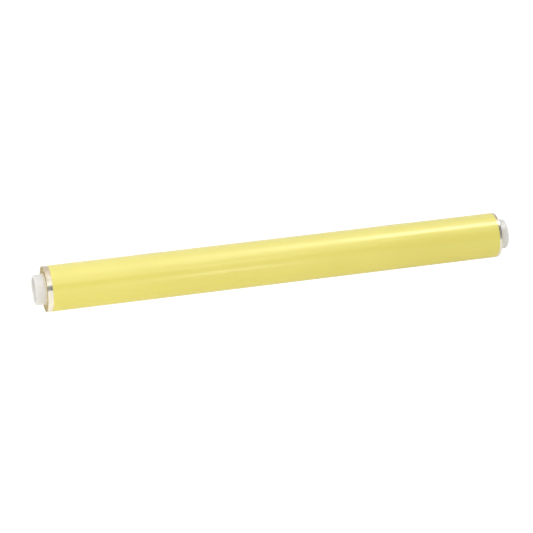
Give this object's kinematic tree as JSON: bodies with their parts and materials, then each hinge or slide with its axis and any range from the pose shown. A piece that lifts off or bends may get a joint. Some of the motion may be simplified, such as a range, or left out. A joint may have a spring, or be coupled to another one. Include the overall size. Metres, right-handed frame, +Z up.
{
  "type": "sign vinyl roll",
  "caption": "Small roll of sign vinyl on a clear liner with bare edges, wound on a paperboard core with a push-fit plastic plug in each end.",
  "frame": {"origin": "on the roll's axis, midway between the two ends", "axes": "+X along the roll towards its right end, +Z up with the roll lying on its side, +Y to the back, where the web's free end is"},
  "size_m": [0.3264, 0.0304, 0.0303],
  "materials": {
    "paperboard": "smooth spiral-wound paperboard, cream outer ply",
    "mounting_tape": "double-sided tape, matt",
    "release_liner": "clear polyester film with a silicone release coat, glossy, silvery where it is wound in many turns",
    "yellow_vinyl": "pale yellow calendered vinyl, smooth with a soft gloss",
    "tab_tape": "frosted office tape",
    "white_plastic": "moulded white plastic, satin"
  },
  "bodies": {
    "roll": {"core_tube": "paperboard", "core_start_tape": "mounting_tape", "liner_web": "release_liner", "vinyl_web": "yellow_vinyl"},
    "web_tail": {"liner_tail": "release_liner", "vinyl_tail": "yellow_vinyl", "left_tail_tab": "tab_tape", "right_tail_tab": "tab_tape"},
    "left_plug": {"left_end_plug": "white_plastic"},
    "right_plug": {"right_end_plug": "white_plastic"}
  },
  "joints": [
    {"name": "left_plug_pull", "type": "slide", "parent": "roll", "child": "left_plug", "axis": [-1, 0, 0], "range_m": [0, 0.03]},
    {"name": "right_plug_pull", "type": "slide", "parent": "roll", "child": "right_plug", "axis": [1, 0, 0], "range_m": [0, 0.03]},
    {"name": "web_tail_lift", "type": "hinge", "parent": "roll", "child": "web_tail", "pos_m": [0, 0.01212, -0.0092], "axis": [-1, 0, 0], "range_deg": [0, 70]}
  ]
}
